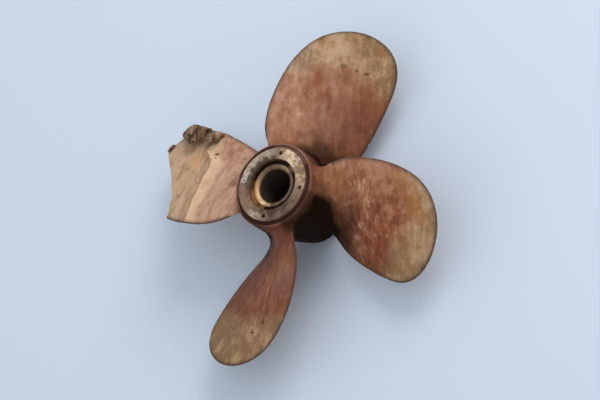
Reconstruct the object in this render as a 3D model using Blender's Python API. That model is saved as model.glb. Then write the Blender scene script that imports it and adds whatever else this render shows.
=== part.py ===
"""A four-bladed ship propeller in bronze, cast in one piece, with one damaged blade.

The shaft's axis is +Z. The origin is on it, in the flat face of the hub's small end, which
the propeller stands on. The hub's large end, with the machined ring, faces up.
Lengths are metres, and angles are degrees, counterclockwise as seen from above.
"""

import math

import bmesh
import bpy
from mathutils import Matrix, Vector

# Blades
BLADE_COUNT = 4
FIRST_BLADE_ANGLE = 53.5
PROPELLER_RADIUS = 0.625
PITCH = 1.10
TIP_RAKE = 0.028

# Blade outline: chords at the root and at one and two thirds of the blade's length
ROOT_CHORD = 0.245
INNER_CHORD = 0.388
OUTER_CHORD = 0.403
TIP_OUTLINE_RADIUS = 0.344
TIP_SKEW = 0.109

# Blade thickness, and the fillet that spreads its root and ends a little inside the hub
ROOT_THICKNESS = 0.044
TIP_THICKNESS = 0.009
EDGE_THICKNESS = 0.006
ROOT_FILLET = 0.045
FILLET_SINK = 0.003

# Hub: its length below and above the blades' middle plane, its barrel, and the lip that
# stands round the ring at its large end
HUB_BELOW_BLADES = 0.155
HUB_ABOVE_BLADES = 0.165
HUB_SMALL_RADIUS = 0.104
HUB_LARGE_RADIUS = 0.154
HUB_SHOULDER_HEIGHT = 0.250
HUB_EDGE = 0.006
LIP_WIDTH = 0.008
LIP_HEIGHT = 0.0055
BORE_LARGE_RADIUS = 0.062
BORE_SMALL_RADIUS = 0.053
RECESS_RADIUS = 0.0925
RECESS_DEPTH = 0.024

# Ring and collar at the hub's large end. A groove is left between the ring and the lip.
GROOVE_WIDTH = 0.012
RING_THICKNESS = 0.014
RING_CHAMFER = 0.003
COLLAR_WALL = 0.016
COLLAR_HEIGHT = 0.013
COLLAR_CHAMFER = 0.003
COLLAR_FLARE = 0.007

# Screw holes, set in from the ring's edge, and the screw that is left in one of them
SCREW_COUNT = 4
SCREW_INSET = 0.019
SCREW_HOLE_RADIUS = 0.007
TAPPED_DEPTH = 0.020
SCREW_HEAD_RADIUS = 0.010
SCREW_HEAD_HEIGHT = 0.007
SCREW_SOCKET_RADIUS = 0.005
SCREW_SOCKET_DEPTH = 0.004
SCREW_CLEARANCE = 0.0006

# Damage: one blade's tip is bent down about a crease, from its lower to its upper edge,
# and its upper corner is torn off. The tear's points lie short of the tip circle, and across.
DAMAGED_BLADE = 2
CREASE_LOWER_RADIUS = 0.465
CREASE_UPPER_RADIUS = 0.405
BEND_ANGLE = 9.0
BEND_WIDTH = 0.030
TEAR_LINE = ((-0.030, -0.150), (0.017, -0.124), (0.041, -0.087), (0.066, -0.056), (0.092, -0.018),
             (0.106, 0.012), (0.132, 0.042), (0.138, 0.080), (0.152, 0.112), (0.150, 0.160))
TEAR_REACH = 0.200

# Flaps of the damaged blade's lower edge that are rolled up over it: where each starts and
# ends, short of the tip circle, the radius of its roll, how far it turns, and how far over the
# blade its middle lies, in rolls
FLAPS = ((0.100, 0.026, 0.044, 250.0, 1.02),
         (0.160, 0.112, 0.028, 245.0, 1.75),
         (0.008, 0.002, 0.008, 215.0, 0.7))
FLAP_WALL = 0.0054
FLAP_TUCK = 16.0
FLAP_END_SIZE = 0.5

# Gap between pieces that touch
SEAT_GAP = 0.0003

# How far a blade reaches into the hub, how much of its tip's point is left flat, and the
# radius from which the rings of its mesh are true circles
ROOT_SINK = 0.012
TIP_FLAT = 0.0012
ROUND_RING_RADIUS = 0.340

# Heights and radii that follow from the sizes above
HUB_LENGTH = HUB_BELOW_BLADES + HUB_ABOVE_BLADES
RIM_HEIGHT = HUB_LENGTH - RING_THICKNESS - SEAT_GAP
LIP_TOP = RIM_HEIGHT + LIP_HEIGHT
RECESS_FLOOR = HUB_LENGTH - RECESS_DEPTH
LIP_INNER_RADIUS = HUB_LARGE_RADIUS - LIP_WIDTH
RING_RADIUS = LIP_INNER_RADIUS - GROOVE_WIDTH
SCREW_CIRCLE_RADIUS = RING_RADIUS - SCREW_INSET

# Fineness of the surfaces
TURN_SEGMENTS = 72
HOLE_SEGMENTS = 16
HUB_STEPS = 12
ROOT_STEPS = 10
SPAN_STEPS = 18
CHORD_STEPS = 14
FLAP_STEPS = 9


def hub_radius(height):
    """The radius of the hub's barrel at a height above its small end."""
    rise = min(max(height / HUB_SHOULDER_HEIGHT, 0.0), 1.0)
    swell = math.sin(math.pi / 2 * rise)
    return HUB_SMALL_RADIUS + (HUB_LARGE_RADIUS - HUB_SMALL_RADIUS) * swell


def chord(span):
    """The blade's chord at a share of its length: a cubic, closed by a round tip."""
    length = PROPELLER_RADIUS - hub_radius(HUB_BELOW_BLADES)
    rest = 1.0 - span
    inner = INNER_CHORD / math.sqrt(2 / 3)
    outer = OUTER_CHORD / math.sqrt(1 / 3)
    tip = 2 * math.sqrt(2 * TIP_OUTLINE_RADIUS * length)
    pull_in = (-5 * ROOT_CHORD + 18 * inner - 9 * outer + 2 * tip) / 6
    pull_out = (2 * ROOT_CHORD - 9 * inner + 18 * outer - 5 * tip) / 6
    cubic = (ROOT_CHORD * rest ** 3 + 3 * pull_in * rest ** 2 * span
             + 3 * pull_out * rest * span ** 2 + tip * span ** 3)
    return math.sqrt(rest) * cubic


def blade_point(ring, across, upper):
    """A point on the skin of a blade that lies along +X.

    ring is the point's radius, except near the root, where the rings follow the hub's barrel.
    across runs from -1 at the lower edge to 1 at the upper edge. The lower face follows the
    screw surface, and the upper face bulges over it. Inside its root radius a blade goes
    straight on towards the axis.
    """
    root = hub_radius(HUB_BELOW_BLADES)
    follow = max(1 - (max(ring - root, 0.0) / (ROUND_RING_RADIUS - root)) ** 2, 0.0) ** 2
    clear = min(max(ring - root + FILLET_SINK, 0.0), ROOT_FILLET)
    fillet = ROOT_FILLET - math.sqrt(ROOT_FILLET ** 2 - (ROOT_FILLET - clear) ** 2)
    lean = across * abs(across) ** 3
    radius = ring
    for _ in range(5):
        station = max(radius, root)
        span = (station - root) / (PROPELLER_RADIUS - root)
        pitch_angle = math.atan2(PITCH, 2 * math.pi * station)
        thickness = ROOT_THICKNESS + (TIP_THICKNESS - ROOT_THICKNESS) * span
        along = -TIP_SKEW * span ** 2 + across * chord(span) / 2
        out = EDGE_THICKNESS + (thickness - EDGE_THICKNESS) * (1 - across ** 2) if upper else 0.0
        middle = HUB_BELOW_BLADES + TIP_RAKE * span

        # The root's fillet runs round its two ends, and stays between the hub's end faces
        slope = math.sin(pitch_angle) + math.cos(pitch_angle)
        height = middle + along * math.sin(pitch_angle) + out * math.cos(pitch_angle)
        room = max(min(RIM_HEIGHT - HUB_EDGE - height, height - HUB_EDGE), 0.0) / slope
        spread = min(fillet, room)
        along += lean * spread
        out += math.sqrt(1 - lean ** 2) * (spread if upper else -spread)
        height = middle + along * math.sin(pitch_angle) + out * math.cos(pitch_angle)
        radius = ring + follow * (hub_radius(height) - root)

    angle = (along * math.cos(pitch_angle) - out * math.sin(pitch_angle)) / station
    return Vector((radius * math.cos(angle), radius * math.sin(angle), height))


def bent_tip(point):
    """The place of a point of the damaged blade after its tip was bent down."""
    lower = blade_point(CREASE_LOWER_RADIUS, -1.0, False)
    crease = (blade_point(CREASE_UPPER_RADIUS, 1.0, False) - lower).normalized()
    outward = crease.cross(Vector((0, 0, 1))).normalized()
    beyond = (point - lower).dot(outward)
    share = min(max(beyond / BEND_WIDTH + 0.5, 0.0), 1.0)
    return lower + Matrix.Rotation(math.radians(BEND_ANGLE) * share, 3, crease) @ (point - lower)


def skin(shape, rings):
    """Joins rings of corners into a closed skin, capped at both ends."""
    for near, far in zip(rings, rings[1:]):
        for i in range(len(near)):
            j = (i + 1) % len(near)
            shape.faces.new((near[i], near[j], far[j], far[i]))
    shape.faces.new(rings[0])
    shape.faces.new(rings[-1])


def blade_shape(damaged):
    """The closed skin of a blade along +X: rings round its sections, from root to tip."""
    start = hub_radius(HUB_BELOW_BLADES) - FILLET_SINK
    clear = start + ROOT_FILLET
    end = PROPELLER_RADIUS - TIP_FLAT
    radii = [start + FILLET_SINK - ROOT_SINK]
    radii += [clear - ROOT_FILLET * math.cos(math.pi / 2 * i / ROOT_STEPS)
              for i in range(ROOT_STEPS)]
    radii += [clear + (end - clear) * math.sin(math.pi / 2 * i / SPAN_STEPS)
              for i in range(SPAN_STEPS + 1)]
    shares = [-math.cos(math.pi * i / CHORD_STEPS) for i in range(CHORD_STEPS + 1)]

    shape = bmesh.new()
    rings = []
    for radius in radii:
        loop = [blade_point(radius, across, True) for across in shares]
        loop += [blade_point(radius, across, False) for across in reversed(shares)]
        if damaged:
            loop = [bent_tip(point) for point in loop]
        rings.append([shape.verts.new(point) for point in loop])
    skin(shape, rings)
    return shape


def tear_shape():
    """The prism that takes the torn corner off a blade along +X."""
    line = [(PROPELLER_RADIUS - short, across) for short, across in TEAR_LINE]
    far = PROPELLER_RADIUS + TEAR_REACH
    outline = line + [(far, line[-1][1]), (far, line[0][1])]
    shape = bmesh.new()
    face = shape.faces.new([shape.verts.new((x, y, 0.0)) for x, y in outline])
    grown = bmesh.ops.extrude_face_region(shape, geom=[face])
    raised = [item for item in grown["geom"] if isinstance(item, bmesh.types.BMVert)]
    bmesh.ops.translate(shape, verts=raised, vec=(0, 0, HUB_LENGTH))
    return shape


def lower_edge(radius, upper):
    """A corner of the damaged blade's lower edge."""
    return bent_tip(blade_point(radius, -1.0, upper))


def flap_shape(start, end, roll, turn, inset):
    """A strip of the damaged blade's lower edge, rolled up and back over the blade.

    It is a curl in section, widest at the middle of its length.
    """
    shape = bmesh.new()
    rings = []
    for i in range(FLAP_STEPS + 1):
        share = i / FLAP_STEPS
        radius = PROPELLER_RADIUS - start + (start - end) * share
        bottom, top = lower_edge(radius, False), lower_edge(radius, True)
        up = (top - bottom).normalized()
        out = (bottom - lower_edge(radius - FLAP_WALL, False)).cross(up).normalized()
        reach = roll * (FLAP_END_SIZE + (1 - FLAP_END_SIZE) * math.sin(math.pi * share))
        centre = (bottom + top) / 2 + up * reach - out * reach * inset
        loop = []
        for side, order in ((0.5, range(FLAP_STEPS + 1)), (-0.5, range(FLAP_STEPS, -1, -1))):
            for j in order:
                angle = math.radians(-90 - FLAP_TUCK + (FLAP_TUCK + turn) * j / FLAP_STEPS)
                spoke = math.cos(angle) * out + math.sin(angle) * up
                loop.append(centre + (reach + side * FLAP_WALL) * spoke)
        rings.append([shape.verts.new(point) for point in loop])
    skin(shape, rings)
    return shape


def turned_shape(profile, segments):
    """A closed outline of (radius, height) points, turned once round the shaft's axis."""
    shape = bmesh.new()
    ring = [shape.verts.new((radius, 0.0, height)) for radius, height in profile]
    edges = [shape.edges.new((ring[i - 1], ring[i])) for i in range(len(ring))]
    bmesh.ops.spin(shape, geom=ring + edges, cent=(0, 0, 0), axis=(0, 0, 1),
                   angle=2 * math.pi, steps=segments, use_merge=True)
    return shape


def rod_shape(radius, bottom, top, segments):
    """An upright round rod on the axis."""
    shape = bmesh.new()
    middle = Matrix.Translation((0, 0, (bottom + top) / 2))
    bmesh.ops.create_cone(shape, cap_ends=True, segments=segments, radius1=radius,
                          radius2=radius, depth=top - bottom, matrix=middle)
    return shape


def add_piece(name, shape):
    """An object made from a shape, with its faces pointing out and smooth round sides."""
    bmesh.ops.recalc_face_normals(shape, faces=shape.faces)
    mesh = bpy.data.meshes.new(name)
    shape.to_mesh(mesh)
    shape.free()
    mesh.shade_smooth()
    mesh.set_sharp_from_angle(angle=math.radians(35))
    piece = bpy.data.objects.new(name, mesh)
    bpy.context.scene.collection.objects.link(piece)
    return piece


def add_metal(piece, colour, roughness, metallic):
    """The piece's own material."""
    material = bpy.data.materials.new(piece.name + "_metal")
    material.use_nodes = True
    shader = material.node_tree.nodes["Principled BSDF"]
    shader.inputs["Base Color"].default_value = (*colour, 1.0)
    shader.inputs["Roughness"].default_value = roughness
    shader.inputs["Metallic"].default_value = metallic
    piece.data.materials.append(material)


def combine(piece, operation, guide):
    """Joins a hidden guide to a piece, or cuts it away."""
    guide.display_type = "WIRE"
    guide.hide_render = True
    step = piece.modifiers.new(guide.name, "BOOLEAN")
    step.operation = operation
    step.solver = "EXACT"
    step.object = guide


def blade_angle(number):
    return math.radians(FIRST_BLADE_ANGLE + number * 360 / BLADE_COUNT)


def screw_place(number):
    """The place of a screw hole, one of them in line with each blade."""
    angle = math.radians(FIRST_BLADE_ANGLE + number * 360 / SCREW_COUNT)
    return Vector((SCREW_CIRCLE_RADIUS * math.cos(angle), SCREW_CIRCLE_RADIUS * math.sin(angle), 0))


def damage(blade):
    """Tears the corner off the damaged blade, and adds the rolled flaps of its edge."""
    tear = add_piece("tear_guide", tear_shape())
    tear.rotation_euler = blade.rotation_euler
    combine(blade, "DIFFERENCE", tear)
    for i, flap in enumerate(FLAPS):
        rolled = add_piece(f"flap_guide_{i}", flap_shape(*flap))
        rolled.rotation_euler = blade.rotation_euler
        combine(blade, "UNION", rolled)


def make_casting():
    """The hub, turned with its tapered bore, recess and lip, and the blades joined to it."""
    profile = [(BORE_SMALL_RADIUS, 0.0), (hub_radius(0.0) - HUB_EDGE, 0.0)]
    for i in range(HUB_STEPS + 1):
        height = HUB_EDGE + (LIP_TOP - 2 * HUB_EDGE) * i / HUB_STEPS
        profile.append((hub_radius(height), height))
    profile += [(HUB_LARGE_RADIUS - HUB_EDGE, LIP_TOP), (LIP_INNER_RADIUS, LIP_TOP),
                (LIP_INNER_RADIUS, RIM_HEIGHT), (RECESS_RADIUS, RIM_HEIGHT),
                (RECESS_RADIUS, RECESS_FLOOR), (BORE_LARGE_RADIUS, RECESS_FLOOR)]
    casting = add_piece("propeller_casting", turned_shape(profile, TURN_SEGMENTS))
    add_metal(casting, (0.30, 0.17, 0.11), 0.55, 0.35)

    for number in range(BLADE_COUNT):
        blade = add_piece(f"blade_guide_{number}", blade_shape(number == DAMAGED_BLADE))
        blade.rotation_euler.z = blade_angle(number)
        if number == DAMAGED_BLADE:
            damage(blade)
        combine(casting, "UNION", blade)
    for number in range(SCREW_COUNT):
        hole = add_piece(f"tapped_guide_{number}",
                         rod_shape(SCREW_HOLE_RADIUS, RIM_HEIGHT - TAPPED_DEPTH, HUB_LENGTH,
                                   HOLE_SEGMENTS))
        hole.location = screw_place(number)
        combine(casting, "DIFFERENCE", hole)


def make_end_ring():
    """The machined ring on the hub's large end, with its screw holes."""
    bottom = HUB_LENGTH - RING_THICKNESS
    profile = [(RECESS_RADIUS, bottom), (RING_RADIUS, bottom), (RING_RADIUS, HUB_LENGTH - RING_CHAMFER),
               (RING_RADIUS - RING_CHAMFER, HUB_LENGTH), (RECESS_RADIUS + RING_CHAMFER, HUB_LENGTH),
               (RECESS_RADIUS, HUB_LENGTH - RING_CHAMFER)]
    ring = add_piece("end_ring", turned_shape(profile, TURN_SEGMENTS))
    add_metal(ring, (0.42, 0.36, 0.27), 0.5, 0.5)
    for number in range(SCREW_COUNT):
        hole = add_piece(f"ring_hole_guide_{number}",
                         rod_shape(SCREW_HOLE_RADIUS, 0.0, 2 * HUB_LENGTH, HOLE_SEGMENTS))
        hole.location = screw_place(number)
        combine(ring, "DIFFERENCE", hole)


def make_seal_collar():
    """The bright collar that stands round the bore in the recess, flared to let the shaft in."""
    bottom = RECESS_FLOOR + SEAT_GAP
    top = bottom + COLLAR_HEIGHT
    outer = BORE_LARGE_RADIUS + COLLAR_WALL
    profile = [(BORE_LARGE_RADIUS, bottom), (outer, bottom), (outer, top - COLLAR_CHAMFER),
               (outer - COLLAR_CHAMFER, top), (BORE_LARGE_RADIUS + COLLAR_FLARE, top),
               (BORE_LARGE_RADIUS, top - COLLAR_FLARE)]
    collar = add_piece("seal_collar", turned_shape(profile, TURN_SEGMENTS))
    add_metal(collar, (0.62, 0.42, 0.22), 0.35, 0.8)


def make_left_in_screw():
    """A socket screw: its head on the ring, its shank in the hole below."""
    seat = HUB_LENGTH + SEAT_GAP
    tip = RIM_HEIGHT - TAPPED_DEPTH / 2
    screw = add_piece("left_in_screw", rod_shape(SCREW_HOLE_RADIUS - SCREW_CLEARANCE, tip,
                                                 seat + SCREW_HEAD_HEIGHT / 2, HOLE_SEGMENTS))
    screw.location = screw_place(DAMAGED_BLADE)
    add_metal(screw, (0.55, 0.50, 0.48), 0.4, 0.8)
    head = add_piece("screw_head_guide", rod_shape(SCREW_HEAD_RADIUS, seat,
                                                   seat + SCREW_HEAD_HEIGHT, HOLE_SEGMENTS))
    socket = add_piece("screw_socket_guide", rod_shape(SCREW_SOCKET_RADIUS,
                                                       seat + SCREW_HEAD_HEIGHT - SCREW_SOCKET_DEPTH,
                                                       seat + 2 * SCREW_HEAD_HEIGHT, 6))
    for guide in (head, socket):
        guide.location = screw.location
    combine(screw, "UNION", head)
    combine(screw, "DIFFERENCE", socket)


for old in list(bpy.data.objects):
    bpy.data.objects.remove(old, do_unlink=True)
make_casting()
make_end_ring()
make_seal_collar()
make_left_in_screw()
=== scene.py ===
import math

import bmesh
import bpy
from mathutils import Matrix, Vector, noise


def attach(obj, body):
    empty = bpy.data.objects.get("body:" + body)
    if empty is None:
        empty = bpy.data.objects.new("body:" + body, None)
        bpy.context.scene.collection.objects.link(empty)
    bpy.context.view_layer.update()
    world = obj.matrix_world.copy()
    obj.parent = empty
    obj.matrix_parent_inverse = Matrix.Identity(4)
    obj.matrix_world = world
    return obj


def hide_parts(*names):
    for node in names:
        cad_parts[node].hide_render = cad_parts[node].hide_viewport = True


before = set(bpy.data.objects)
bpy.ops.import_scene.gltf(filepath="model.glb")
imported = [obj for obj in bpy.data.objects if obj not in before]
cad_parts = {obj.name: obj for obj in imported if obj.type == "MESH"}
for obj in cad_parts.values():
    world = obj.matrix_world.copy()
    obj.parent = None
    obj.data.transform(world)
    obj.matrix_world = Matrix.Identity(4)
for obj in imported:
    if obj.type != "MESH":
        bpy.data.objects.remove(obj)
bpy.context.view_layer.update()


# The camera and the room.
# The camera looks along the photograph's line of sight, from far off and rolled with it. The
# floor is pale, and the light is an even sky and one large soft lamp from above in the picture.

picture_right = Vector((0.2734, 0.8104, -0.5183)).normalized()
picture_up = Vector((-0.8117, 0.4834, 0.3278)).normalized()
picture_near = picture_right.cross(picture_up).normalized()
picture_up = picture_near.cross(picture_right).normalized()

view_height = 0.155
view_shift = 0.0112
view_centre = Vector((0.0, 0.0, view_height)) + view_shift * picture_right
view_width = 2.069
view_distance = 55.0


def turned_towards(right, up, near, place):
    """The place and turn of a camera or light that looks along -near."""
    turn = Matrix((right, up, near)).transposed().to_4x4()
    return Matrix.Translation(place) @ turn


camera = bpy.data.objects.new("camera", bpy.data.cameras.new("camera"))
camera.data.sensor_width = 36.0
camera.data.lens = camera.data.sensor_width * view_distance / view_width
camera.data.clip_end = 200.0
camera.matrix_world = turned_towards(picture_right, picture_up, picture_near,
                                     view_centre + view_distance * picture_near)
bpy.context.scene.collection.objects.link(camera)
bpy.context.scene.camera = camera

lamp_distance = 9.0
lamp_near = (0.15 * picture_right + 0.85 * picture_up + 0.50 * picture_near).normalized()
lamp_side = lamp_near.orthogonal().normalized()
lamp = bpy.data.objects.new("key_light", bpy.data.lights.new("key_light", "AREA"))
lamp.data.shape = "SQUARE"
lamp.data.size = 5.0
lamp.data.energy = 348.0
lamp.data.color = (1.0, 0.98, 0.95)
lamp.matrix_world = turned_towards(lamp_side, lamp_near.cross(lamp_side), lamp_near,
                                   view_centre + lamp_distance * lamp_near)
bpy.context.scene.collection.objects.link(lamp)

room = bpy.data.worlds.new("room")
bpy.context.scene.world = room
room.use_nodes = True
room_light = room.node_tree.nodes["Background"]
room_light.inputs["Color"].default_value = (0.93, 0.97, 1.0, 1.0)
room_light.inputs["Strength"].default_value = 0.70
bpy.context.scene.view_settings.view_transform = "Standard"


def shade(mesh, sharp_angle):
    """Makes a mesh smooth but for its sharp edges."""
    mesh.shade_smooth()
    mesh.set_sharp_from_angle(angle=math.radians(sharp_angle))


def add_object(name, shape, sharp_angle=35.0):
    """An object made from a shape, which is used up."""
    mesh = bpy.data.meshes.new(name)
    shape.to_mesh(mesh)
    shape.free()
    shade(mesh, sharp_angle)
    piece = bpy.data.objects.new(name, mesh)
    bpy.context.scene.collection.objects.link(piece)
    return piece


floor_shape = bmesh.new()
bmesh.ops.create_grid(floor_shape, x_segments=1, y_segments=1, size=30.0)
floor = add_object("floor", floor_shape)
floor_finish = bpy.data.materials.new("pale_floor")
floor_finish.use_nodes = True
floor_shader = floor_finish.node_tree.nodes["Principled BSDF"]
floor_shader.inputs["Base Color"].default_value = (0.67, 0.76, 0.895, 1.0)
floor_shader.inputs["Roughness"].default_value = 0.9
floor.data.materials.append(floor_finish)


# The hub.
# It is cast with the blades in one piece, and then turned: a barrel with a tapered bore, and
# at its large end a recess, a flat seat and a low lip. The propeller stands on its small end.

blades_height = 0.155
hub_length = 0.320
seat_height = 0.3057
lip_top = 0.3112
lip_inner_radius = 0.146
recess_floor = 0.296
recess_radius = 0.0925
bore_large_radius = 0.062
bore_small_radius = 0.053
hub_small_radius = 0.104
hub_large_radius = 0.154
hub_shoulder_height = 0.250
hub_edge = 0.006
turned_rounding = 0.001
hub_segments = 216


def hub_radius(height):
    """The radius of the hub's barrel at a height above its small end."""
    share = min(max(height / hub_shoulder_height, 0.0), 1.0)
    return hub_small_radius + (hub_large_radius - hub_small_radius) * math.sin(math.pi / 2 * share)


def turned_shape(profile, segments):
    """A closed outline of (radius, height, rounding) points, turned round the Z axis.

    A side that lies on the axis is left out, because it sweeps no face.
    """
    shape = bmesh.new()
    corners = [shape.verts.new((radius, 0.0, height)) for radius, height, _ in profile]
    for corner, after in zip(corners, corners[1:] + corners[:1]):
        if corner.co.x or after.co.x:
            shape.edges.new((corner, after))
    for corner, (_, _, rounding) in zip(corners, profile):
        if rounding:
            bmesh.ops.bevel(shape, geom=[corner], offset=rounding, segments=4, profile=0.5,
                            affect="VERTICES", material=-1)
    bmesh.ops.spin(shape, geom=shape.verts[:] + shape.edges[:], cent=(0, 0, 0), axis=(0, 0, 1),
                   angle=2 * math.pi, steps=segments, use_merge=True)
    bmesh.ops.remove_doubles(shape, verts=shape.verts, dist=0.00001)
    bmesh.ops.recalc_face_normals(shape, faces=shape.faces)
    return shape


barrel_steps = 60
edge_steps = 5
edge_turns = [math.pi / 2 * step / edge_steps for step in range(1, edge_steps)]
hub_profile = [(bore_small_radius, 0.0, turned_rounding),
               (hub_small_radius - hub_edge, 0.0, 0.0)]
hub_profile += [(hub_small_radius - hub_edge * (1 - math.sin(turn)),
                 hub_edge * (1 - math.cos(turn)), 0.0) for turn in edge_turns]
for step in range(barrel_steps + 1):
    height = hub_edge + (lip_top - 2 * hub_edge) * step / barrel_steps
    hub_profile.append((hub_radius(height), height, 0.0))
hub_profile += [(hub_large_radius - hub_edge * (1 - math.cos(turn)),
                 lip_top - hub_edge * (1 - math.sin(turn)), 0.0) for turn in edge_turns]
hub_profile += [(hub_large_radius - hub_edge, lip_top, 0.0),
                (lip_inner_radius, lip_top, turned_rounding),
                (lip_inner_radius, seat_height, 0.0), (recess_radius, seat_height, 0.0),
                (recess_radius, recess_floor, 0.0), (bore_large_radius, recess_floor, 0.0)]
casting = add_object("weathered_casting", turned_shape(hub_profile, hub_segments))


# The blades.
# Each is a wide round-tipped screw surface, cast with the hub: flat underneath, bulging above,
# spread into the hub by a fillet, and slightly uneven. Its thin edge is worn and nicked.

blade_count = 4
first_blade_angle = 53.5
propeller_radius = 0.625
pitch = 1.10
tip_rake = 0.028
root_chord = 0.245
inner_chord = 0.388
outer_chord = 0.403
tip_outline_radius = 0.344
tip_skew = 0.109
root_thickness = 0.044
tip_thickness = 0.009
edge_thickness = 0.006
nose_depth = 0.005
root_fillet = 0.045
fillet_sink = 0.0012
root_sink = 0.012
tip_flat = 0.0002
round_ring_radius = 0.340
fillet_rows = 12
span_rows = 84
chord_rows = 60

# The heights of the long and short waves in the faces
face_waves = 0.0016
face_ripples = 0.0004

# How far the edges have worn back, and the long and short waves in them
edge_loss = 0.0008
edge_waves = 0.0009
edge_ripples = 0.0005

# Nicks in the edges: blade, radius, side, width along the edge and depth
edge_nicks = (
    (0, 0.352, 1, 0.010, 0.0045), (0, 0.338, 1, 0.007, 0.0030), (0, 0.470, -1, 0.009, 0.0028),
    (1, 0.520, 1, 0.008, 0.0022), (1, 0.300, -1, 0.010, 0.0030), (3, 0.430, 1, 0.009, 0.0030),
    (3, 0.560, -1, 0.012, 0.0026), (2, 0.330, 1, 0.009, 0.0030))


def chord(span):
    """The blade's chord at a share of its length: a cubic, closed by a round tip."""
    length = propeller_radius - hub_radius(blades_height)
    rest = 1.0 - span
    inner = inner_chord / math.sqrt(2 / 3)
    outer = outer_chord / math.sqrt(1 / 3)
    tip = 2 * math.sqrt(2 * tip_outline_radius * length)
    pull_in = (-5 * root_chord + 18 * inner - 9 * outer + 2 * tip) / 6
    pull_out = (2 * root_chord - 9 * inner + 18 * outer - 5 * tip) / 6
    cubic = (root_chord * rest ** 3 + 3 * pull_in * rest ** 2 * span
             + 3 * pull_out * rest * span ** 2 + tip * span ** 3)
    return math.sqrt(rest) * cubic


def edge_wear(number, radius, across):
    """How far a blade's edge has worn back at a radius, with its nicks."""
    side = 1 if across > 0 else -1
    worn = edge_loss
    worn += edge_waves * noise.noise(Vector((radius * 45, side * 7.0, number * 13.0)))
    worn += edge_ripples * noise.noise(Vector((radius * 150, side * 3.0, number * 17.0)))
    for nicked, place, nicked_side, width, depth in edge_nicks:
        if nicked == number and nicked_side == side:
            worn += depth * math.exp(-((radius - place) / width * 2) ** 2)
    return worn * abs(across) ** 8


def edge_gap(radius, across, half_chord):
    """How far a point lies inside a blade's outline, rounded where the side meets the tip."""
    across = min(abs(across), 1.0)
    side_gap = (1 - across) * max(half_chord, 0.0) + 1e-9
    tip_gap = max(propeller_radius - radius, 0.0) * (1 - across ** 2) + 1e-9
    return side_gap * tip_gap / math.hypot(side_gap, tip_gap)


def blade_point(ring, across, upper, number):
    """A point on the skin of a blade that lies along +X.

    ring is the point's radius, except near the root, where the rings follow the hub's barrel.
    across runs from -1 at the lower edge to 1 at the upper edge.
    """
    root = hub_radius(blades_height)
    follow = max(1 - (max(ring - root, 0.0) / (round_ring_radius - root)) ** 2, 0.0) ** 2
    clear = min(max(ring - root + fillet_sink, 0.0), root_fillet)
    fillet = root_fillet - math.sqrt(root_fillet ** 2 - (root_fillet - clear) ** 2)
    lean = across * abs(across) ** 3
    radius = ring
    for _ in range(4):
        station = max(radius, root)
        span = (station - root) / (propeller_radius - root)
        pitch_angle = math.atan2(pitch, 2 * math.pi * station)
        half_chord = chord(span) / 2 - edge_wear(number, station, across)
        along = -tip_skew * span ** 2 + across * half_chord
        middle = blades_height + tip_rake * span

        # The section closes in a round nose along its outline
        full = edge_thickness + (root_thickness + (tip_thickness - root_thickness) * span
                                 - edge_thickness) * (1 - across ** 2)
        gap = edge_gap(station, across, half_chord)
        nose = math.sqrt(1 - (1 - min(gap / nose_depth, 1.0)) ** 2)
        out = full * (1 + (nose if upper else -nose)) / 2

        # The faces are slightly uneven
        spot = Vector((station * 9, along * 9, number * 5.0))
        out += face_waves * noise.noise(spot) + face_ripples * noise.noise(spot * 4)

        slope = math.sin(pitch_angle) + math.cos(pitch_angle)
        height = middle + along * math.sin(pitch_angle) + out * math.cos(pitch_angle)
        room_left = max(min(seat_height - hub_edge - height, height - hub_edge), 0.0) / slope
        spread = min(fillet, room_left)
        along += lean * spread
        out += math.sqrt(1 - lean ** 2) * (spread if upper else -spread)
        height = middle + along * math.sin(pitch_angle) + out * math.cos(pitch_angle)
        radius = ring + follow * (hub_radius(height) - root)

    angle = (along * math.cos(pitch_angle) - out * math.sin(pitch_angle)) / station
    return Vector((radius * math.cos(angle), radius * math.sin(angle), height))


def metal_sheet(rows, columns):
    """A closed flat box of two square grids, and which of its corners are on top."""
    sheet = bmesh.new()
    bmesh.ops.create_grid(sheet, x_segments=rows, y_segments=columns, size=1.0)
    raised = bmesh.ops.extrude_face_region(sheet, geom=sheet.faces[:], use_keep_orig=True)
    tops = {item for item in raised["geom"] if isinstance(item, bmesh.types.BMVert)}
    return sheet, tops


def blade_angle(number):
    """The bearing of a blade's middle line."""
    return math.radians(first_blade_angle + number * 360 / blade_count)


def turned_to_blade(number, name, sheet, sharp_angle=35.0):
    """An object from a sheet that was shaped along +X, turned to its blade's place."""
    bmesh.ops.recalc_face_normals(sheet, faces=sheet.faces)
    bmesh.ops.rotate(sheet, verts=sheet.verts, cent=(0, 0, 0),
                     matrix=Matrix.Rotation(blade_angle(number), 3, "Z"))
    return add_object(name, sheet, sharp_angle)


# The radii of the rows of a blade's mesh, close together in the fillet and at the tip
fillet_start = hub_radius(blades_height) - fillet_sink
fillet_end = fillet_start + root_fillet
tip_end = propeller_radius - tip_flat
rings = [fillet_start + fillet_sink - root_sink]
rings += [fillet_end - root_fillet * math.cos(math.pi / 2 * row / fillet_rows)
          for row in range(fillet_rows)]
rings += [fillet_end + (tip_end - fillet_end) * math.sin(math.pi / 2 * row / span_rows)
          for row in range(span_rows + 1)]


def shaped_blade(number, skin_point):
    """A blade's object, whose corners are placed by their ring, place across and side."""
    sheet, tops = metal_sheet(len(rings) - 1, chord_rows)
    for corner in sheet.verts:
        row = round((corner.co.x + 1) / 2 * (len(rings) - 1))
        across = math.sin(math.pi / 2 * corner.co.y)
        corner.co = skin_point(rings[row], across, corner in tops, number)
    bmesh.ops.remove_doubles(sheet, verts=sheet.verts, dist=0.00002)
    return turned_to_blade(number, f"blade_{number}", sheet)


damaged_blade = 2
blades = [shaped_blade(number, blade_point) for number in (0, 1, 3)]


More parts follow.
